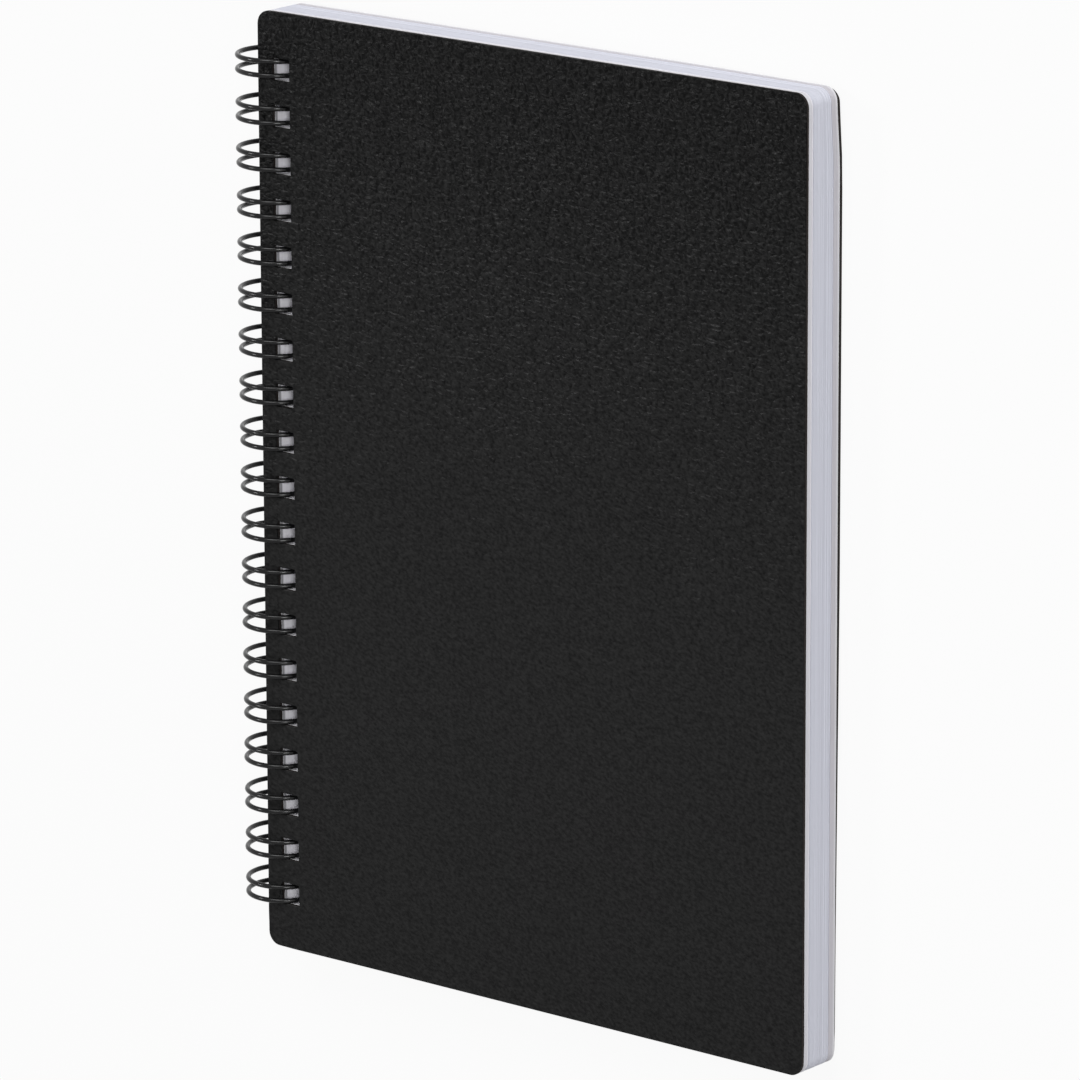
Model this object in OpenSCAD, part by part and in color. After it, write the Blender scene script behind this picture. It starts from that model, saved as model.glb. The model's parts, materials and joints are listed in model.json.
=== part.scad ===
// Wire-bound notebook, lying closed on its back cover with the front cover up.
// X runs from the spine to the fore edge, Y from the foot to the head, Z up through the pages.
// The origin is under the middle of the closed book, level with the lowest point of the wire.

/* [Book block] */
// Width of the covers and pages, spine edge to fore edge
page_w = 122; // [80:1:220]
// Height of the covers and pages, foot to head
page_h = 173; // [90:1:300]
// Thickness of all the pages together
pages_t = 8.6; // [4:0.1:14]
// Radius of the rounded corners of covers and pages
corner_r = 2.5; // [0.5:0.1:6]

/* [Covers] */
// Thickness of the grained front cover
front_cover_t = 0.8; // [0.4:0.05:1.6]
// Thickness of the grained back cover
back_cover_t = 0.8; // [0.4:0.05:1.6]
// Gap from the spine edges to the axis that the covers turn about
spine_gap = 0.2; // [0.15:0.05:1.5]

/* [Punched holes] */
// Paper left between the spine edge and the near side of the holes
hole_margin = 3.3; // [2.5:0.1:6]
// Least paper left between the head or foot and the middle of the end holes
end_margin = 9; // [6:0.5:20]
// Radius in the corners of the punched holes
hole_corner_r = 0.3; // [0.1:0.05:0.6]
// Clearance between the wire and the sides of the holes
wire_play = 0.22; // [0.15:0.05:0.6]

/* [Binding wire] */
// Diameter of the coated wire
wire_d = 0.9; // [0.6:0.05:1.2]
// Distance from one double loop to the next
loop_pitch = 8.467; // [8.3:0.001:12.7]
// Distance between the two strands of a loop, middle to middle
strand_gap = 2.6; // [2:0.1:3.2]
// Bend radius where a strand turns into the bar to the next loop, on the wire's middle
root_bend_r = 0.9; // [0.7:0.05:1.1]
// Distance that a closed loop's tip stops short of the bars
tip_gap = 0.4; // [0.1:0.1:1]
// Straight end left past the last bend, where the wire was cut off
end_stub = 0.8; // [0.2:0.1:1.5]
// Clearance between the bars and the back cover
seam_play = 0.12; // [0.1:0.01:0.4]

/* [Hidden] */

// Smoothness of the outlines and of the wire
outline_fn = 48;
wire_fn = 24;
ring_fn = 96;
// Length by which a cut runs past the face that it opens
past = 1;

cover_black = "#242424";
paper_white = "#f2f2f6";
wire_black = "#1b1b1c";

wire_r = wire_d / 2;
wall_t = max(front_cover_t, back_cover_t);
// Height above and below the wire's axis at which the thicker cover's outer face lies
half_stack = pages_t / 2 + wall_t;

// The near side of the holes, measured from the axis of the rings
hole_near = spine_gap + hole_margin;
// The rings pass just outside the corner of the covers at the holes
ring_r = norm([hole_near, half_stack]) + wire_play + wire_r;
ring_outer_r = ring_r + wire_r;
// The holes reach just past the rings where they pass the middle of the pages
hole_w = ring_outer_r + wire_play - hole_near;
hole_h = strand_gap + wire_d + 2 * wire_play;

loop_count = floor((page_h - 2 * end_margin) / loop_pitch) + 1;
first_loop_y = -(loop_count - 1) * loop_pitch / 2;

// The closed book is centred on X, the rings standing out past the spine
total_w = ring_outer_r + spine_gap + page_w;
axis_x = ring_outer_r - total_w / 2;
spine_x = axis_x + spine_gap;
axis_z = ring_outer_r;

// The seam of the wire lies in the last pages, just inside the back cover
bar_z = wire_r + seam_play - pages_t / 2;
bar_angle = asin(bar_z / ring_r);
bar_x = ring_r * cos(bar_angle);
// Length along the ring as an angle, in degrees
function ring_angle(length) = length / ring_r * 180 / PI;
// How far a number is from having only six decimals, in millionths
function past_six_decimals(value) = abs(value * 1e6 - round(value * 1e6));
// The angle, from the given one on, whose sine and cosine come closest to six decimals:
// arcs that are placed by such an angle meet exactly
function neat_angle(least) =
    let (angles = [for (step = [0 : 1500]) ceil(least * 1000) / 1000 + step / 1000],
         errors = [for (a = angles) max(past_six_decimals(cos(a)), past_six_decimals(sin(a)))],
         best = min(errors))
    [for (i = [0 : len(angles) - 1]) if (errors[i] == best) angles[i]][0];
// The roots of the loops on the ring, and the angle from there back to the tips
root_angle = bar_angle - ring_angle(root_bend_r);
tip_lead = neat_angle(ring_angle(root_bend_r + tip_gap + strand_gap / 2));
bar_length = loop_pitch - strand_gap - 2 * root_bend_r;
// The relief in the last pages that the bars lie in
relief_w = wire_d + 2 * wire_play;
relief_depth = bar_z + wire_r + wire_play + pages_t / 2;
relief_reach = strand_gap / 2 + root_bend_r + end_stub + wire_play;
relief_l = (loop_count - 1) * loop_pitch + 2 * relief_reach;

// A rectangle with rounded corners, from its lowest corner
module rounded_outline(size, r) {
    translate([r, 0])
        square([size[0] - 2 * r, size[1]]);
    translate([0, r])
        square([size[0], size[1] - 2 * r]);
    for (x = [r, size[0] - r], y = [r, size[1] - r])
        translate([x, y])
            circle(r = r, $fn = outline_fn);
}

// The outline shared by covers and pages, spine edge on the left, with its row of punched holes
module punched_outline() {
    difference() {
        translate([spine_x, -page_h / 2])
            rounded_outline([page_w, page_h], corner_r);
        for (i = [0 : loop_count - 1])
            translate([axis_x + hole_near, first_loop_y + i * loop_pitch - hole_h / 2])
                rounded_outline([hole_w, hole_h], hole_corner_r);
    }
}

// A punched sheet or stack of the given thickness, its lower face at the given height
module punched_stack(bottom_z, thickness) {
    translate([0, 0, bottom_z])
        linear_extrude(thickness)
            punched_outline();
}

module front_cover() {
    color(cover_black)
        punched_stack(axis_z + pages_t / 2, front_cover_t);
}

module back_cover() {
    color(cover_black)
        punched_stack(axis_z - pages_t / 2 - back_cover_t, back_cover_t);
}

// All the sheets as one block, with the relief that the last ones give to the seam of the wire
module pages() {
    color(paper_white)
        difference() {
            punched_stack(axis_z - pages_t / 2, pages_t);
            translate([axis_x + bar_x - relief_w / 2, -relief_l / 2, axis_z - pages_t / 2 - past])
                cube([relief_w, relief_l, relief_depth + past]);
        }
}

// A length of wire bent to an arc of the given radius about Z, from the start angle on
module wire_arc(bend_r, start, sweep) {
    rotate_extrude(start = start, angle = sweep, $fn = ring_fn)
        translate([bend_r, 0])
            circle(r = wire_r, $fn = wire_fn);
}

// Places wire bent in the XY plane flat against the ring, the given angle back from the roots:
// its Y stays along the spine, and its X runs down the ring
module on_ring(angle) {
    rotate([0, -angle, 0])
        translate([ring_r, 0, 0])
            rotate([0, 90, 0])
                children();
}

// One of the two strands of a loop, from its tip round to its root
module strand() {
    rotate([90, 0, 0])
        wire_arc(ring_r, tip_lead, 360 - tip_lead);
}

// The turn that joins the two strands at the tip of a loop
module tip_turn() {
    on_ring(tip_lead)
        wire_arc(strand_gap / 2, -90, 180);
}

// The bend from the root of a strand into a straight length along the spine
module root_bend(straight) {
    on_ring(0) {
        translate([0, strand_gap / 2 + root_bend_r, 0])
            wire_arc(root_bend_r, 180, 90);
        translate([-root_bend_r, strand_gap / 2 + root_bend_r, 0])
            rotate([-90, 0, 0])
                cylinder(r = wire_r, h = straight, $fn = wire_fn);
    }
}

// A loop closed round the spine: two strands, the tip between them and a bend at each root
module double_loop(straight_before, straight_after) {
    for (side = [-1, 1])
        translate([0, side * strand_gap / 2, 0])
            strand();
    tip_turn();
    mirror([0, 1, 0])
        root_bend(straight_before);
    root_bend(straight_after);
}

// The whole binding: one wire bent into a row of double loops with a bar between each two
module binding_wire() {
    color(wire_black)
        translate([axis_x, 0, axis_z])
            rotate([0, -root_angle, 0])
                for (i = [0 : loop_count - 1])
                    translate([0, first_loop_y + i * loop_pitch, 0])
                        double_loop(i == 0 ? end_stub : bar_length / 2,
                                    i == loop_count - 1 ? end_stub : bar_length / 2);
}

front_cover();
back_cover();
pages();
binding_wire();
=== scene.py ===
"""The looks of a wire-bound notebook with grained black covers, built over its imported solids.

The notebook lies closed on its back cover: X runs from the spine to the fore edge, Y from the foot
to the head, Z up out of the front cover. Lengths are in metres.
"""

import json
import math
import random

import bmesh
import bpy
from bpy.props import FloatProperty, FloatVectorProperty, IntProperty, PointerProperty
from mathutils import Euler, Matrix, Vector


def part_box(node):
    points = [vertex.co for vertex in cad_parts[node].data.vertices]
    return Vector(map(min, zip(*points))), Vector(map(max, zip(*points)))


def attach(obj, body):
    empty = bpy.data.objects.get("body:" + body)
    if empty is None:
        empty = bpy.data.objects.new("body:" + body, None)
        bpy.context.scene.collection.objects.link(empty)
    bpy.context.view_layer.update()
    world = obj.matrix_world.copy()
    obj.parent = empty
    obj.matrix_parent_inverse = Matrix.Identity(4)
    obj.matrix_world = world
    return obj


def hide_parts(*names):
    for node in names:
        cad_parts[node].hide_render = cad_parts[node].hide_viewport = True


bl_info = {
    "name": "Wire-bound notebook",
    "version": (1, 0, 0),
    "blender": (4, 5, 0),
    "location": "View3D > Sidebar > Notebook",
    "description": "Dresses the solids of a notebook with grained covers, sheets and a bent wire",
    "category": "Object",
}

MM = 0.001
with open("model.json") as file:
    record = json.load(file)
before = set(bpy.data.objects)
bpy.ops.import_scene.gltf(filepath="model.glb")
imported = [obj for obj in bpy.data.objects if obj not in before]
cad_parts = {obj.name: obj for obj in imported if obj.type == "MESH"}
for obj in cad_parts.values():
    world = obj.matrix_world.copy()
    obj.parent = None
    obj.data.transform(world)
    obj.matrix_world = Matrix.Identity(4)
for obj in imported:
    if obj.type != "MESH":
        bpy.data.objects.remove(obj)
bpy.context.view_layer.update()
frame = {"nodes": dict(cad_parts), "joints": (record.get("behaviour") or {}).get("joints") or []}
FRONT_LO, FRONT_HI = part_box("front_cover")
BACK_LO, BACK_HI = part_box("back_cover")
PAGES_LO, PAGES_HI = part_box("pages")
TURN = next(j for j in frame["joints"] if j["name"] == "front_cover_turn")
RING_AXIS = Vector(TURN["pos_m"])
X_AXIS, Y_AXIS, Z_AXIS = (Vector(row) for row in Matrix.Identity(3))
# Vertices nearer to each other than this are one
SAME = 1e-6
# The name under which each vertex of the sheets keeps its depth in the block, nought at the front
DEPTH = "depth"
# Radius of the sheets' rounded corners, as in the solids
CORNER = 2.5 * MM
# A rim sharper than this is worn round
RIM_ANGLE = math.radians(60)
# A board's face whose normal stands up less than this is its cut edge
EDGE_RISE = 0.35
# Steps of the wire's bends: all round a ring, at a tip and at a root
RING_STEPS, TIP_STEPS, ROOT_STEPS = 60, 12, 6
# The floor lies this far under the lowest points of the wire
FLOOR_GAP = 0.02 * MM


def length(name, description, default, low=0.0, high=0.05):
    """A length that the user can change, in metres."""
    return FloatProperty(
        name=name, description=description, default=default, min=low, max=high,
        subtype="DISTANCE", unit="LENGTH", precision=5,
    )


def share(name, description, default, high=1.0):
    """A plain number from nothing up."""
    return FloatProperty(name=name, description=description, default=default, min=0.0, max=high)


def spot(name, description, default):
    """A place in the frame that the user can change."""
    return FloatVectorProperty(
        name=name, description=description, default=default, size=3, subtype="TRANSLATION",
        unit="LENGTH",
    )


def colour(name, description, default):
    """A colour that the user can change."""
    return FloatVectorProperty(
        name=name, description=description, default=default, min=0.0, max=1.0,
        subtype="COLOR", size=3,
    )


class CoverSettings(bpy.types.PropertyGroup):
    """Sizes and colours of the two covers."""

    rounding: length("Rounding", "Radius that the cut edges are worn to", 0.14 * MM)
    cell: length("Cell", "Distance between the cuts that let a board bend", 6 * MM)
    pinch: length("Pinch", "How far the back cover's head corner is drawn to the pages", 0.9 * MM)
    pinch_reach: length("Pinch reach", "How far down the fore edge the pinch is felt", 16 * MM)
    pinch_width: length("Pinch width", "How far along the head the pinch is felt", 35.2 * MM)
    head_step: length("Head step", "How far the back cover stops short of the head", 0.4 * MM)
    narrow: length("Narrowing", "How far the back cover stops short at its foot", 0.5 * MM)
    # The crest colour is a painted highlight: paler leather that stands in for the light caught on
    # the grain's crests.
    black: colour("Black", "Colour of the leather in its hollows", (0.0022, 0.0022, 0.0023))
    lit_crest: colour("Crest", "Colour of the leather on its crests", (0.018, 0.018, 0.018))
    raw: colour("Raw edge", "Colour of the cut edge of the board", (0.016, 0.012, 0.011))
    grain: length("Grain", "Size of the pebbles of the leather", 1.2 * MM)
    grain_depth: length("Grain depth", "Height of the pebbles of the leather", 0.65 * MM)


class PageSettings(bpy.types.PropertyGroup):
    """Sizes and colours of the block of sheets."""

    sheet: length("Sheet", "Thickness of the sheets that stand out from each other", 0.2 * MM)
    uneven: length("Unevenness", "How far a sheet's edge may lie behind the others", 0.07 * MM)
    first_part: length("First part", "Depth of the warmer sheets at the front cover", 1.2 * MM)
    last_part: length("Last part", "Depth of the loosened sheets at the back cover", 1.75 * MM)
    gap: length("Gap", "Depth of the shadow line before the loosened sheets", 0.7 * MM)
    slit: length("Slit", "Width of the shadow lines between the parts of the block", 0.16 * MM)
    white: colour("White", "Colour of the open page", (0.80, 0.80, 0.82))
    edge: colour("Edge", "Colour of the sheets' edges", (0.67, 0.68, 0.76))
    warm: colour("Warm edge", "Colour of the first sheets' edges", (0.73, 0.72, 0.76))
    last: colour("Last edge", "Colour of the loosened sheets' edges", (0.62, 0.60, 0.64))
    # The inside colour is the same paper painted paler, as painted light in the holes.
    inside: colour("Inside", "Colour of the sheets' edges in the holes", (0.94, 0.93, 0.97))
    line: colour("Line", "Colour of the shadow between two sheets", (0.30, 0.30, 0.36))


class WireSettings(bpy.types.PropertyGroup):
    """Sizes and colours of the double-loop wire."""

    diameter: length("Diameter", "Thickness of the coated wire", 0.9 * MM)
    pitch: length("Pitch", "Distance from one double loop to the next", 8.467 * MM)
    loops: IntProperty(
        name="Loops", description="Number of double loops", default=19, min=1, max=60
    )
    strand_gap: length("Strand gap", "Distance between the two strands of a loop", 2.6 * MM)
    bend: length("Bend radius", "Radius of the bends at the roots, on the wire's middle", 0.9 * MM)
    tip_gap: length("Tip gap", "Distance that a tip stops short of the bars", 0.4 * MM)
    stub: length("Stub", "Straight end left past the last bend", 0.8 * MM)
    seam_play: length("Seam play", "Clearance between the bars and the back cover", 0.12 * MM)
    sides: IntProperty(
        name="Sides", description="Sides of the wire's section", default=14, min=6, max=32
    )
    wander: length("Wander", "How far a loop strays from its true place", 0.06 * MM)
    drift: length("Drift", "How far the loops are drawn to the head and to the foot", 0.15 * MM)
    black: colour("Black", "Colour of the wire's coat", (0.0026, 0.0026, 0.0028))


class StageSettings(bpy.types.PropertyGroup):
    """The camera, the lamps and the floor."""

    camera_place: spot(
        "Camera place", "Where the camera stands", (0.8273369, 0.3432450, 1.0153831)
    )
    camera_turn: FloatVectorProperty(
        name="Camera turn", description="How the camera is turned", size=3, subtype="EULER",
        default=(math.radians(-14.997254), math.radians(39.229463), math.radians(-0.259571)),
    )
    lens: FloatProperty(
        name="Lens", description="Focal length on a 36 mm sensor", default=256.17, min=20.0,
        max=1000.0, unit="CAMERA",
    )
    floor_size: FloatProperty(
        name="Floor", description="Side of the square floor", default=8.0, min=1.0, max=50.0,
        subtype="DISTANCE", unit="LENGTH",
    )
    pale: colour("Floor colour", "Colour of the floor", (0.55, 0.55, 0.55))
    bright: share("Floor brightness", "How much of the floor is plain white to the camera", 0.92)
    sky: share("Sky", "Strength of the light from all round", 0.22, high=4.0)
    key: share("Key lamp", "Watts of the lamp over the head", 20.0, high=500.0)
    key_size: length("Key size", "Side of the square key lamp", 0.9, high=5.0)
    key_place: spot("Key place", "Where the key lamp hangs", (0.10, 1.48, 1.34))
    fill: share("Fill lamp", "Watts of the lamp over the fore edge", 20.0, high=500.0)
    fill_size: length("Fill size", "Side of the square fill lamp", 0.5, high=5.0)
    fill_place: spot("Fill place", "Where the fill lamp hangs", (1.32, 0.44, 1.44))
    sheen: share("Sheen lamp", "Watts of the lamp that glances off the grain", 12.0, high=500.0)
    sheen_size: length("Sheen size", "Side of the square sheen lamp", 0.4, high=5.0)
    sheen_place: spot("Sheen place", "Where the sheen lamp hangs", (-1.22, 0.58, 1.47))


class Wired:
    """A socket of a material's nodes. Sums on it are written as expressions and add Math nodes."""

    def __init__(self, finish, socket):
        self.finish, self.socket = finish, socket

    def sum_of(self, operation, first, second):
        """A Math node on two values, sockets or numbers."""
        return self.finish.node("ShaderNodeMath", {"operation": operation}, {0: first, 1: second})

    def __add__(self, other):
        return self.sum_of("ADD", self, other)

    def __radd__(self, other):
        return self.sum_of("ADD", other, self)

    def __sub__(self, other):
        return self.sum_of("SUBTRACT", self, other)

    def __rsub__(self, other):
        return self.sum_of("SUBTRACT", other, self)

    def __mul__(self, other):
        return self.sum_of("MULTIPLY", self, other)

    def __rmul__(self, other):
        return self.sum_of("MULTIPLY", other, self)


class Finish:
    """A node material, built up from its surface inwards."""

    def __init__(self, name, tree=None):
        if tree is None:
            self.material = bpy.data.materials.new(name)
            self.material.use_nodes = True
            tree = self.material.node_tree
        self.tree = tree
        self.tree.nodes.clear()

    def node(self, kind, settings=None, inputs=None, output=0):
        """Adds a node, sets it, feeds its inputs with values or sockets, and returns an output."""
        made = self.tree.nodes.new(kind)
        for name, value in (settings or {}).items():
            if name == "stops":
                self.set_stops(made.color_ramp, value)
            else:
                setattr(made, name, value)
        for key, value in (inputs or {}).items():
            if isinstance(value, Wired):
                self.tree.links.new(value.socket, made.inputs[key])
            else:
                made.inputs[key].default_value = value
        return Wired(self, made.outputs[output]) if len(made.outputs) else made

    @staticmethod
    def set_stops(ramp, stops):
        """Gives a colour ramp its stops, each a place and a colour."""
        while len(ramp.elements) > 1:
            ramp.elements.remove(ramp.elements[-1])
        for index, (place, shade) in enumerate(stops):
            element = ramp.elements[0] if index == 0 else ramp.elements.new(place)
            element.position = place
            element.color = (*shade, 1.0)

    def place(self):
        """The surface point in the object's own frame."""
        return self.node("ShaderNodeTexCoord", output="Object")

    def axis(self, vector, letter):
        """One coordinate of a vector."""
        return self.node("ShaderNodeSeparateXYZ", inputs={0: vector}, output=letter)

    def stretched(self, vector, scale):
        """The vector, stretched or squeezed along each axis."""
        return self.node(
            "ShaderNodeVectorMath", {"operation": "MULTIPLY"}, {0: vector, 1: scale}
        )

    def noise(self, vector, scale, detail=2.0, roughness=0.5):
        """Soft noise from nought to one, with about so many waves a metre as the scale says."""
        return self.node(
            "ShaderNodeTexNoise",
            inputs={
                "Vector": vector, "Scale": scale, "Detail": detail, "Roughness": roughness,
            },
        )

    def ramp(self, value, stops):
        """A value passed through a curve of stops."""
        return self.node("ShaderNodeValToRGB", {"stops": stops}, {0: value})

    def limited(self, value, low, high):
        """The value carried from the span given to nought to one, and held there."""
        return self.node(
            "ShaderNodeMapRange", {"clamp": True},
            {"Value": value, "From Min": low, "From Max": high},
        )

    def mixed(self, factor, first, second):
        """A colour between two."""
        full = [(*c, 1.0) if isinstance(c, (tuple, list)) else c for c in (first, second)]
        return self.node(
            "ShaderNodeMix", {"data_type": "RGBA"}, {0: factor, 6: full[0], 7: full[1]}, output=2
        )

    def bump(self, height, distance):
        """A normal bent by a height, one unit of which stands for the distance."""
        return self.node(
            "ShaderNodeBump", inputs={"Height": height, "Distance": distance, "Strength": 1.0}
        )

    def surface(self, **inputs):
        """Ends the material in a principled surface. Underscores in the names stand for spaces."""
        named = {name.replace("_", " "): value for name, value in inputs.items()}
        shader = self.node("ShaderNodeBsdfPrincipled", inputs=named)
        self.node("ShaderNodeOutputMaterial", inputs={"Surface": shader})
        return self.material


def grained_leather(name, s):
    """Thin black leather with a fine pebbled grain that runs aslant, plainer towards the foot,
    with painted light and shade in its colour.
    """
    f = Finish(name)
    place = f.place()
    slant, squeeze = 0.27, (0.8, 1.25, 1.0)
    turned = f.node(
        "ShaderNodeVectorRotate", {"rotation_type": "Z_AXIS"}, {"Vector": place, "Angle": slant}
    )
    skin = f.stretched(turned, squeeze)
    # The creases lie between pebbles that are pushed out of their even places
    push = f.node(
        "ShaderNodeTexNoise", inputs={"Vector": skin, "Scale": 0.5 / s.grain, "Detail": 1.0},
        output="Color",
    )
    pushed = f.node(
        "ShaderNodeVectorMath", {"operation": "MULTIPLY_ADD"},
        {0: push, 1: (s.grain, s.grain, s.grain), 2: skin},
    )
    creases = f.node(
        "ShaderNodeTexVoronoi", {"feature": "DISTANCE_TO_EDGE"},
        {"Vector": pushed, "Scale": 0.82 / s.grain},
    )
    swell = f.noise(skin, 0.85 / s.grain, detail=3.0)
    fine = f.limited(f.noise(skin, 2.0 / s.grain), 0.3, 0.7)
    patches = f.noise(place, 0.05 / s.grain, detail=1.0)
    relief = swell * 0.85 + f.limited(creases, 0.0, 0.25) * 0.25
    lit_crest = f.limited(relief, 0.36, 0.73)
    # One at the head and nought at the foot, where the light finds less of the relief
    up = f.limited(f.axis(place, "Y"), FRONT_LO.y, FRONT_HI.y)
    life = 0.1 + 0.82 * up * up + (patches - 0.5) * 0.3
    # The grain's speckle, with its crests painted paler as painted highlights.
    grain_and_glint = lit_crest * 0.15 + fine * 0.85 - 0.5
    # The base tone is painted darker towards the head, as painted shade that offsets the sheen
    # lamp's gloss there, and the speckle is painted stronger there as painted glints.
    tone_and_painted_shade = 0.48 + (0.6 - 1.04 * up) * up + grain_and_glint * (0.78 + 0.4 * up * up)
    return f.surface(
        Base_Color=f.mixed(tone_and_painted_shade, tuple(s.black), tuple(s.lit_crest)),
        Roughness=0.45 - 0.15 * up - lit_crest * 0.06,
        Specular_IOR_Level=0.053,
        Normal=f.bump(relief * life, s.grain_depth),
    )


def raw_board(name, s):
    """The cut edge of the covers: dark brown fibre under the leather's skin."""
    f = Finish(name)
    place = f.place()
    fibres = f.noise(f.stretched(place, (1.0, 1.0, 3.0)), 1600.0, detail=3.0, roughness=0.6)
    stains = f.noise(place, 160.0)
    shade = f.limited(fibres * 0.6 + stains * 0.4, 0.3, 0.7)
    darker, paler = tuple(0.5 * c for c in s.raw), tuple(1.4 * c for c in s.raw)
    return f.surface(
        Base_Color=f.mixed(shade, darker, paler),
        Roughness=0.82,
        Specular_IOR_Level=0.2,
        Normal=f.bump(fibres, 0.05 * MM),
    )


def open_page(name, s):
    """Plain uncoated paper with a faint tooth."""
    f = Finish(name)
    place = f.place()
    tooth = f.noise(place, 2600.0, detail=3.0, roughness=0.6)
    cloud = f.noise(place, 60.0)
    shade = f.limited(tooth * 0.5 + cloud * 0.5, 0.3, 0.7)
    return f.surface(
        Base_Color=f.mixed(shade, tuple(0.97 * c for c in s.white), tuple(s.white)),
        Roughness=0.88,
        Specular_IOR_Level=0.25,
        Normal=f.bump(tooth, 0.015 * MM),
    )


def sheet_lines(f, place):
    """The lines between stacked sheets: fine lines, and broader bands of them."""
    # Waves a metre along the sheets, across them and through the stack
    fine_waves, broad_waves = (60.0, 60.0, 5200.0), (14.0, 14.0, 1400.0)
    lines = f.noise(f.stretched(place, fine_waves), 1.0, roughness=0.7)
    bands = f.noise(f.stretched(place, broad_waves), 1.0, detail=1.0)
    return lines, f.limited(lines * 0.6 + bands * 0.4, 0.28, 0.72)


def sheet_edges(name, s):
    """The cut edges of the sheets, in lines: the first sheets lighter, the last ones greyer."""
    f = Finish(name)
    place = f.place()
    depth = f.node("ShaderNodeAttribute", {"attribute_name": DEPTH}, output="Fac")
    lines, shade = sheet_lines(f, place)
    thick = PAGES_HI.z - PAGES_LO.z
    first, last, slit = s.first_part / thick, 1 - s.last_part / thick, s.slit / thick
    warm, edge, grey, white = tuple(s.warm), tuple(s.edge), tuple(s.last), tuple(s.white)
    painted_shade = tuple(0.80 * c for c in edge)
    # From this depth on the last sheets pale to the white of an open page
    paling = 0.93
    # The edges are painted darker at the two slits, as painted shade in them.
    tint = f.ramp(
        depth,
        [
            (0.0, warm), (first - slit, warm), (first, painted_shade),
            (first + slit, edge), (last - slit, edge), (last, painted_shade),
            (last + slit, grey), (paling, grey), (1.0, white),
        ],
    )
    return f.surface(
        Base_Color=f.mixed(shade, f.mixed(0.12, tint, tuple(s.line)), tint),
        Roughness=0.9,
        Specular_IOR_Level=0.2,
        Normal=f.bump(lines, 0.05 * MM),
    )


def hole_edges(name, s):
    """The sheets' edges inside the holes: painted whiter than the outer edges as painted light,
    with the first ones in the cover's painted shade.
    """
    f = Finish(name)
    lines, shade = sheet_lines(f, f.place())
    depth = f.node("ShaderNodeAttribute", {"attribute_name": DEPTH}, output="Fac")
    painted_shade = tuple(0.35 * c for c in s.inside)
    # The cover's shade reaches in as deep as the first of these shares, and ends at the second
    shaded, clear = 0.05, 0.09
    tint = f.ramp(depth, [(0.0, painted_shade), (shaded, painted_shade), (clear, tuple(s.inside))])
    return f.surface(
        Base_Color=f.mixed(shade, f.mixed(0.22, tint, tuple(s.line)), tint),
        Roughness=0.9,
        Specular_IOR_Level=0.2,
        Normal=f.bump(lines, 0.04 * MM),
    )


def coated_wire(name, s):
    """Black coated steel, satin, with a slightly uneven coat."""
    f = Finish(name)
    place = f.place()
    coat = f.noise(place, 900.0, detail=3.0, roughness=0.55)
    rubbed = f.noise(place, 130.0)
    paler = tuple(1.9 * c for c in s.black)
    return f.surface(
        Base_Color=f.mixed(f.limited(coat, 0.35, 0.7), tuple(s.black), paler),
        Roughness=0.13 + f.limited(rubbed, 0.3, 0.7) * 0.07,
        Specular_IOR_Level=0.22,
        Normal=f.bump(coat, 0.012 * MM),
    )


def pale_floor(name, s):
    """A pale floor that the camera sees as nearly white, with the object's shadow kept."""
    f = Finish(name)
    place = f.place()
    speck = f.noise(place, 12.0)
    ground = f.node(
        "ShaderNodeBsdfDiffuse",
        inputs={"Color": f.mixed(speck * 0.1, tuple(s.pale), (1.0, 1.0, 1.0))},
    )
    white = f.node("ShaderNodeEmission", inputs={"Color": (1.0, 1.0, 1.0, 1.0), "Strength": 1.0})
    f.node(
        "ShaderNodeOutputMaterial",
        inputs={
            "Surface": f.node(
                "ShaderNodeMixShader", inputs={0: seen_straight(f) * s.bright, 1: ground, 2: white}
            )
        },
    )
    return f.material


def seen_straight(f):
    """One for rays from the camera, off a gloss or through glass, and nought for light."""
    return f.node(
        "ShaderNodeMath", {"operation": "MINIMUM"},
        {
            0: f.node("ShaderNodeLightPath", output="Is Camera Ray")
            + f.node("ShaderNodeLightPath", output="Is Glossy Ray")
            + f.node("ShaderNodeLightPath", output="Is Transmission Ray"),
            1: 1.0,
        },
    )


def object_from(bm, name, materials, smooth=True):
    """Turns a finished bmesh into an object at the origin."""
    mesh = bpy.data.meshes.new(name)
    bm.to_mesh(mesh)
    bm.free()
    for material in materials:
        mesh.materials.append(material)
    if smooth:
        mesh.shade_smooth()
    else:
        mesh.shade_flat()
    made = bpy.data.objects.new(name, mesh)
    bpy.context.scene.collection.objects.link(made)
    return made


def merged_copy(node):
    """The mesh of a solid, with its loose triangles joined up."""
    bm = bmesh.new()
    bm.from_mesh(frame["nodes"][node].data)
    bmesh.ops.remove_doubles(bm, verts=bm.verts, dist=SAME)
    return bm


def cut_at(bm, axis, places):
    """Cuts right through a shape at each place along an axis, and leaves it joined."""
    for place in places:
        bmesh.ops.bisect_plane(
            bm, geom=bm.verts[:] + bm.edges[:] + bm.faces[:], dist=SAME,
            plane_co=axis * place, plane_no=axis,
        )


def between(low, high, step):
    """Evenly spaced places inside a span, about a step apart."""
    count = max(2, round((high - low) / step))
    return [low + (high - low) * i / count for i in range(1, count)]


def is_level(edge):
    """Do the edge's ends lie at the same height?"""
    return abs(edge.verts[0].co.z - edge.verts[1].co.z) < SAME


def smooth_step(value):
    """A soft change from nought to one."""
    value = min(1.0, max(0.0, value))
    return value * value * (3 - 2 * value)


def pinch_at(place, s):
    """How far the last sheets and the back cover are drawn up near the head's fore corner."""
    across = smooth_step(1 - (PAGES_HI.x - place.x) / s.pinch_width)
    down = smooth_step(1 - (PAGES_HI.y - place.y) / s.pinch_reach)
    return s.pinch * across * down


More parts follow.
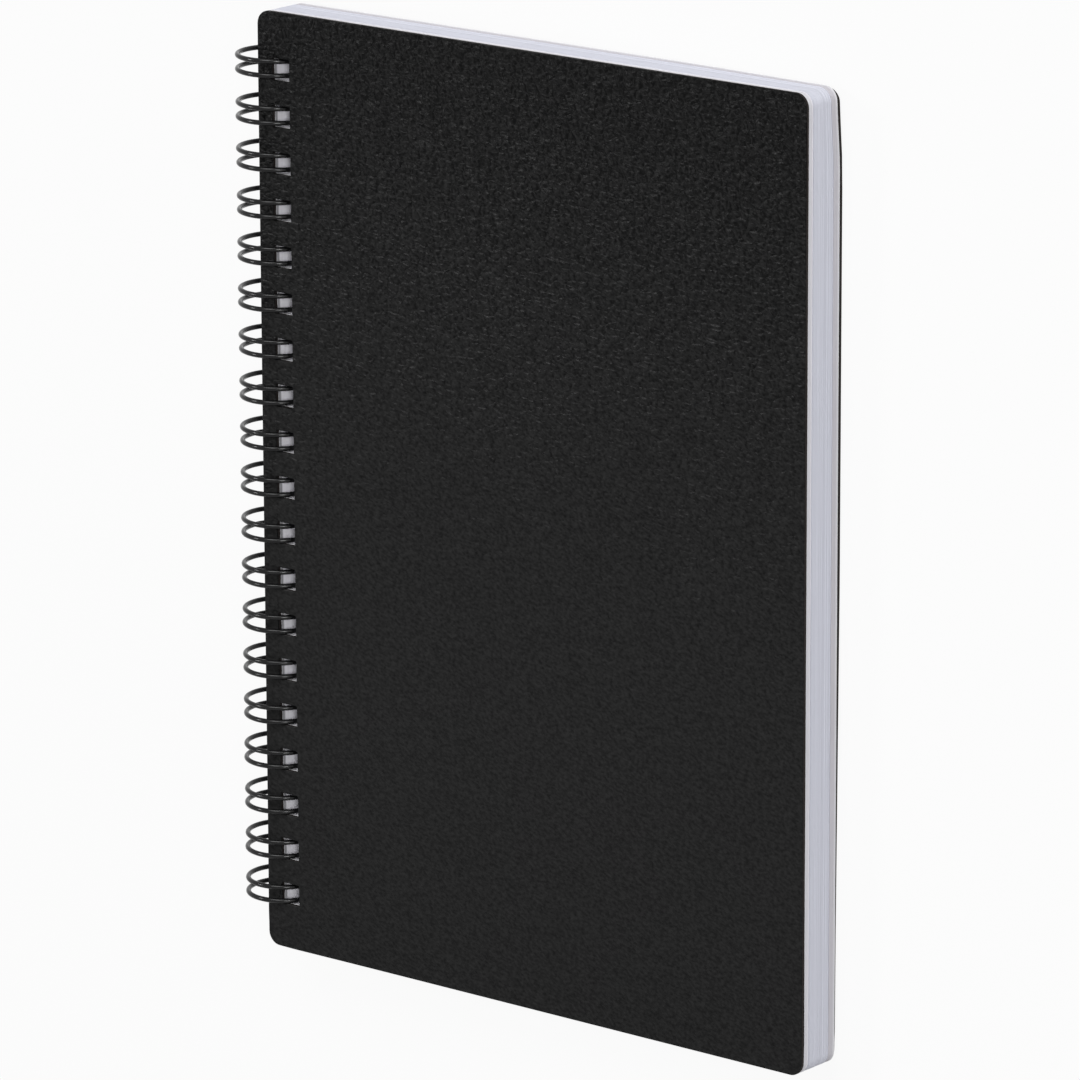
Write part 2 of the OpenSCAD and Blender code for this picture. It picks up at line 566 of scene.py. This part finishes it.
def rounded_board(node, s):
    """A cover's board with its rims worn round and its face cut into cells that can bend."""
    bm = merged_copy(node)
    lo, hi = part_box(node)
    cut_at(bm, X_AXIS, between(lo.x, hi.x, s.cell))
    cut_at(bm, Y_AXIS, between(lo.y, hi.y, s.cell))
    bm.normal_update()
    rims = [
        e for e in bm.edges
        if len(e.link_faces) == 2 and is_level(e) and e.calc_face_angle() > RIM_ANGLE
    ]
    bmesh.ops.bevel(
        bm, geom=rims, offset=s.rounding, offset_type="OFFSET", affect="EDGES", segments=2,
        profile=0.5, material=-1, clamp_overlap=False,
    )
    bmesh.ops.remove_doubles(bm, verts=bm.verts, dist=SAME)
    bm.normal_update()
    for face in bm.faces:
        face.material_index = 1 if abs(face.normal.z) < EDGE_RISE else 0
    return bm


class NOTEBOOK_OT_front_cover(bpy.types.Operator):
    """Build the grained front cover."""

    bl_idname = "notebook.front_cover"
    bl_label = "Front cover"

    def execute(self, context):
        s = context.scene.notebook_cover
        bm = rounded_board("front_cover", s)
        board = object_from(
            bm, "front_board",
            [grained_leather("black_leather_front", s), raw_board("raw_edge_front", s)],
            smooth=False,
        )
        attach(board, "front")
        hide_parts("front_cover")
        return {"FINISHED"}


class NOTEBOOK_OT_back_cover(bpy.types.Operator):
    """Build the grained back cover, pinched at its head corner and narrower at its foot."""

    bl_idname = "notebook.back_cover"
    bl_label = "Back cover"

    def execute(self, context):
        s = context.scene.notebook_cover
        bm = rounded_board("back_cover", s)
        for vert in bm.verts:
            head = smooth_step(1 - (BACK_HI.y - vert.co.y) / s.cell)
            across = (vert.co.x - BACK_LO.x) / (BACK_HI.x - BACK_LO.x)
            vert.co.x -= s.narrow * across * across * max(0.0, vert.co.y / BACK_LO.y)
            vert.co.y -= s.head_step * head
            vert.co.z += pinch_at(vert.co, s)
        board = object_from(
            bm, "back_board",
            [grained_leather("black_leather_back", s), raw_board("raw_edge_back", s)],
            smooth=False,
        )
        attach(board, "back")
        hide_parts("back_cover")
        return {"FINISHED"}


class NOTEBOOK_OT_pages(bpy.types.Operator):
    """Build the block of sheets, with their edges a little uneven."""

    bl_idname = "notebook.pages"
    bl_label = "Pages"

    def execute(self, context):
        s, covers = context.scene.notebook_pages, context.scene.notebook_cover
        bm = merged_copy("pages")
        levels = between(PAGES_LO.z, PAGES_HI.z, s.sheet)
        last_at = min(levels, key=lambda z: abs(z - PAGES_LO.z - s.last_part))
        first_at = min(levels, key=lambda z: abs(z - PAGES_HI.z + s.first_part))
        slits = [z + shift for z in (last_at, first_at) for shift in (-s.slit / 2, s.slit / 2)]
        cut_at(bm, Z_AXIS, levels + slits)
        cut_at(bm, X_AXIS, between(PAGES_HI.x - covers.pinch_width, PAGES_HI.x, covers.cell / 2))
        cut_at(bm, Y_AXIS, between(PAGES_HI.y - covers.pinch_reach, PAGES_HI.y, covers.cell / 3))
        dice = random.Random(11)
        behind = {round(z / SAME): dice.uniform(0.1, 1.0) * s.uneven for z in levels}
        behind[round(last_at / SAME)] = s.gap
        behind[round(first_at / SAME)] = 0.5 * s.gap
        self.give_depth(bm)
        self.give_materials(bm)
        for vert in bm.verts:
            if is_inside_block(vert.co) and on_outline(vert.co):
                vert.co -= outward(vert.co) * behind.get(round(vert.co.z / SAME), 0.0)
        for vert in bm.verts:
            vert.co.z += pinch_at(vert.co, covers) * smooth_step(depth_of(vert.co))
        bm.normal_update()
        block = object_from(
            bm, "sheet_block",
            [
                open_page("open_page", s), sheet_edges("sheet_edges", s),
                hole_edges("hole_edges", s),
            ],
            smooth=False,
        )
        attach(block, "book")
        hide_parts("pages")
        return {"FINISHED"}

    @staticmethod
    def give_depth(bm):
        """Keeps each vertex's depth in the block, which the lines of the sheets' edges follow."""
        kept = bm.verts.layers.float.new(DEPTH)
        for vert in bm.verts:
            vert[kept] = depth_of(vert.co)

    @staticmethod
    def give_materials(bm):
        """Gives the open pages, the outer edges and the edges in the holes their materials."""
        for face in bm.faces:
            middle = face.calc_center_median()
            if not is_inside_block(middle):
                face.material_index = 0
            else:
                face.material_index = 1 if on_outline(middle) else 2


def depth_of(place):
    """How deep a place lies in the block: nought at the front cover and one at the back."""
    return (PAGES_HI.z - place.z) / (PAGES_HI.z - PAGES_LO.z)


def is_inside_block(place):
    """Is the place between the first page and the last?"""
    return PAGES_LO.z + SAME < place.z < PAGES_HI.z - SAME


def on_outline(place):
    """Is the place on the outer edge of the sheets, not in a hole?"""
    gaps = (
        place.x - PAGES_LO.x, PAGES_HI.x - place.x, place.y - PAGES_LO.y, PAGES_HI.y - place.y,
    )
    if min(gaps) < 2 * SAME:
        return True
    near_x, near_y = min(gaps[:2]), min(gaps[2:])
    return near_x < CORNER and near_y < CORNER


def outward(place):
    """The direction straight out of the sheets' outline at a place on it."""
    core = Vector(
        (
            min(max(place.x, PAGES_LO.x + CORNER), PAGES_HI.x - CORNER),
            min(max(place.y, PAGES_LO.y + CORNER), PAGES_HI.y - CORNER),
            place.z,
        )
    )
    out = place - core
    return out.normalized() if out.length > SAME else Vector((0, 0, 0))


class WireRun:
    """A round wire drawn on from its end, along straights and bends."""

    def __init__(self, place, heading, radius, sides):
        self.bm = bmesh.new()
        self.place, self.heading = place.copy(), heading.normalized()
        turned = self.heading.to_track_quat("Z", "Y").to_matrix().to_4x4()
        bmesh.ops.create_circle(
            self.bm, segments=sides, radius=radius, matrix=Matrix.Translation(place) @ turned
        )
        self.sides = sides
        self.end = self.bm.verts[:] + self.bm.edges[:]

    def straight(self, distance):
        """Draws the wire straight on."""
        edges = [g for g in self.end if isinstance(g, bmesh.types.BMEdge)]
        made = bmesh.ops.extrude_edge_only(self.bm, edges=edges)["geom"]
        verts = [g for g in made if isinstance(g, bmesh.types.BMVert)]
        bmesh.ops.translate(self.bm, verts=verts, vec=self.heading * distance)
        fresh = set(verts)
        self.end = verts + [
            g for g in made if isinstance(g, bmesh.types.BMEdge) and fresh.issuperset(g.verts)
        ]
        self.place += self.heading * distance

    def bend(self, inwards, radius, angle, steps):
        """Bends the wire by an angle towards a direction at right angles to its heading."""
        centre = self.place + inwards.normalized() * radius
        axis = self.heading.cross(inwards).normalized()
        self.end = bmesh.ops.spin(
            self.bm, geom=self.end, cent=centre, axis=axis, dvec=Vector((0, 0, 0)), angle=angle,
            steps=steps, use_merge=False, use_duplicate=False,
        )["geom_last"]
        turn = Matrix.Rotation(angle, 3, axis)
        self.place = centre + turn @ (self.place - centre)
        self.heading = turn @ self.heading

    def shape(self):
        """The length of wire as a mesh, open at both ends."""
        mesh = bpy.data.meshes.new("length_of_wire")
        self.bm.to_mesh(mesh)
        self.bm.free()
        return mesh


def strung(lengths, sides):
    """One wire from lengths that meet end to end, each given with the places where it goes."""
    bm = bmesh.new()
    for mesh, places in lengths:
        for place in places:
            known = len(bm.verts)
            bm.from_mesh(mesh)
            bm.verts.ensure_lookup_table()
            bmesh.ops.translate(bm, verts=bm.verts[known:], vec=Y_AXIS * place)
        bpy.data.meshes.remove(mesh)
    bmesh.ops.remove_doubles(bm, verts=bm.verts, dist=SAME)
    bmesh.ops.holes_fill(bm, edges=bm.edges, sides=sides)
    bmesh.ops.recalc_face_normals(bm, faces=bm.faces)
    return bm


class NOTEBOOK_OT_binding_wire(bpy.types.Operator):
    """Bend the binding from one wire: a loop of two strands and a tip, and a bar to the next."""

    bl_idname = "notebook.binding_wire"
    bl_label = "Binding wire"

    def execute(self, context):
        s = context.scene.notebook_wire
        half = s.diameter / 2
        ring = RING_AXIS.z - half
        seam = PAGES_LO.z - RING_AXIS.z + half + s.seam_play
        root = math.asin(seam / ring) - s.bend / ring
        lead = (s.bend + s.tip_gap + s.strand_gap / 2) / ring
        out = Vector((math.cos(root), 0, math.sin(root)))
        up_ring = Vector((-math.sin(root), 0, math.cos(root)))
        root_place = RING_AXIS + out * ring + up_ring * s.bend
        reach = s.strand_gap / 2 + s.bend
        loop = WireRun(root_place - Y_AXIS * reach, Y_AXIS, half, s.sides)
        loop.bend(-up_ring, s.bend, math.pi / 2, ROOT_STEPS)
        loop.bend(self.to_axis(loop.place), ring, 2 * math.pi - lead, RING_STEPS)
        loop.bend(Y_AXIS, s.strand_gap / 2, math.pi, TIP_STEPS)
        loop.bend(self.to_axis(loop.place), ring, 2 * math.pi - lead, RING_STEPS)
        loop.bend(Y_AXIS, s.bend, math.pi / 2, ROOT_STEPS)
        bar = WireRun(root_place + Y_AXIS * reach, Y_AXIS, half, s.sides)
        bar.straight(s.pitch - 2 * reach)
        stub = WireRun(root_place + Y_AXIS * reach, Y_AXIS, half, s.sides)
        stub.straight(s.stub)
        first_y = -(s.loops - 1) * s.pitch / 2
        places = [first_y + i * s.pitch for i in range(s.loops)]
        ends = [-first_y, first_y - 2 * reach - s.stub]
        bm = strung(
            [(loop.shape(), places), (bar.shape(), places[:-1]), (stub.shape(), ends)], s.sides
        )
        self.stray(bm, s, out, first_y)
        wire = object_from(bm, "double_loop_wire", [coated_wire("black_coat", s)])
        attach(wire, "book")
        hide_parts("binding_wire")
        return {"FINISHED"}

    @staticmethod
    def to_axis(place):
        """The way from a place on a ring straight to the rings' axis."""
        return Vector((RING_AXIS.x - place.x, 0, RING_AXIS.z - place.z))

    @staticmethod
    def stray(bm, s, out, first_y):
        """Moves each strand a little, most across from the seam and not at all at it."""
        dice = random.Random(5)
        strays = [
            Vector((dice.uniform(-0.4, 0.4), dice.uniform(-1, 1), dice.uniform(-0.7, 0.7)))
            for _ in range(2 * s.loops)
        ]
        for vert in bm.verts:
            index = min(s.loops - 1, max(0, round((vert.co.y - first_y) / s.pitch)))
            middle = first_y + index * s.pitch
            side = 1 if vert.co.y > middle else 0
            arm = Vector((vert.co.x - RING_AXIS.x, 0, vert.co.z - RING_AXIS.z)).normalized()
            away = smooth_step((1 - arm.dot(out)) / 2)
            # One at the head's loop, and minus one from just below the middle to the foot
            up = max(-1.0, -1.8 * middle / first_y - 0.8)
            vert.co += strays[2 * index + side] * s.wander * away
            vert.co.y += s.drift * up * min(1.0, 1.8 * away)


class NOTEBOOK_OT_stage(bpy.types.Operator):
    """Set up the floor, the lamps, the surroundings and the camera."""

    bl_idname = "notebook.stage"
    bl_label = "Stage"

    def execute(self, context):
        s = context.scene.notebook_stage
        self.floor(s)
        self.lamp("key_lamp", s.key, s.key_size, s.key_place)
        self.lamp("fill_lamp", s.fill, s.fill_size, s.fill_place)
        self.lamp("sheen_lamp", s.sheen, s.sheen_size, s.sheen_place)
        self.surroundings(context.scene, s)
        self.camera(context.scene, s)
        context.scene.view_settings.view_transform = "Standard"
        return {"FINISHED"}

    def floor(self, s):
        """The floor touches the wire and the back cover's fore edge, as where the book lies."""
        bm = bmesh.new()
        bmesh.ops.create_grid(bm, x_segments=1, y_segments=1, size=s.floor_size / 2)
        rise = math.atan2(BACK_LO.z, BACK_HI.x - RING_AXIS.x)
        turn = Matrix.Rotation(-rise, 4, "Y")
        under = Vector((RING_AXIS.x, 0, -FLOOR_GAP))
        bmesh.ops.transform(bm, matrix=Matrix.Translation(under) @ turn, verts=bm.verts)
        floor = object_from(bm, "floor", [pale_floor("pale_floor", s)])

    def lamp(self, name, power, size, place):
        """A square lamp that faces the frame's origin."""
        data = bpy.data.lights.new(name, "AREA")
        data.shape = "SQUARE"
        data.energy, data.size = power, size
        lamp = bpy.data.objects.new(name, data)
        lamp.location = place
        lamp.rotation_mode = "QUATERNION"
        lamp.rotation_quaternion = (-place).to_track_quat("-Z", "Y")
        bpy.context.scene.collection.objects.link(lamp)

    def surroundings(self, scene, s):
        """White all round to the camera, and a soft even light on the notebook."""
        world = bpy.data.worlds.new("plain_white")
        world.use_nodes = True
        scene.world = world
        f = Finish("plain_white", world.node_tree)
        strength = s.sky + seen_straight(f) * (1.0 - s.sky)
        light = f.node(
            "ShaderNodeBackground", inputs={"Color": (1.0, 1.0, 1.0, 1.0), "Strength": strength}
        )
        f.node("ShaderNodeOutputWorld", inputs={"Surface": light})

    def camera(self, scene, s):
        """The camera that sees the closed notebook as the photograph does."""
        data = bpy.data.cameras.new("camera")
        data.sensor_width, data.lens = 36.0, s.lens
        data.clip_start, data.clip_end = 0.05, 50.0
        camera = bpy.data.objects.new("camera", data)
        camera.location = s.camera_place
        camera.rotation_euler = Euler(s.camera_turn, "XYZ")
        scene.collection.objects.link(camera)
        scene.camera = camera


class NOTEBOOK_PT_sidebar(bpy.types.Panel):
    """Lists the pieces of the notebook and their settings."""

    bl_idname = "NOTEBOOK_PT_sidebar"
    bl_label = "Wire-bound notebook"
    bl_space_type = "VIEW_3D"
    bl_region_type = "UI"
    bl_category = "Notebook"

    def draw(self, context):
        for operator, settings in PIECES:
            box = self.layout.box()
            box.operator(operator.bl_idname)
            group = getattr(context.scene, settings)
            for name in group.__annotations__:
                box.prop(group, name)


PIECES = (
    (NOTEBOOK_OT_front_cover, "notebook_cover"),
    (NOTEBOOK_OT_back_cover, "notebook_cover"),
    (NOTEBOOK_OT_pages, "notebook_pages"),
    (NOTEBOOK_OT_binding_wire, "notebook_wire"),
    (NOTEBOOK_OT_stage, "notebook_stage"),
)
SETTINGS = {
    "notebook_cover": CoverSettings,
    "notebook_pages": PageSettings,
    "notebook_wire": WireSettings,
    "notebook_stage": StageSettings,
}
CLASSES = (*SETTINGS.values(), *(operator for operator, _ in PIECES), NOTEBOOK_PT_sidebar)


def register():
    """Makes the classes and the scene's settings known to Blender."""
    for cls in CLASSES:
        bpy.utils.register_class(cls)
    for name, cls in SETTINGS.items():
        setattr(bpy.types.Scene, name, PointerProperty(type=cls))


def unregister():
    """Takes the settings and classes away again."""
    for name in SETTINGS:
        delattr(bpy.types.Scene, name)
    for cls in reversed(CLASSES):
        bpy.utils.unregister_class(cls)


def main():
    """Builds the notebook and its stage."""
    register()
    bpy.ops.notebook.front_cover()
    bpy.ops.notebook.back_cover()
    bpy.ops.notebook.pages()
    bpy.ops.notebook.binding_wire()
    bpy.ops.notebook.stage()


if __name__ == "__main__":
    main()
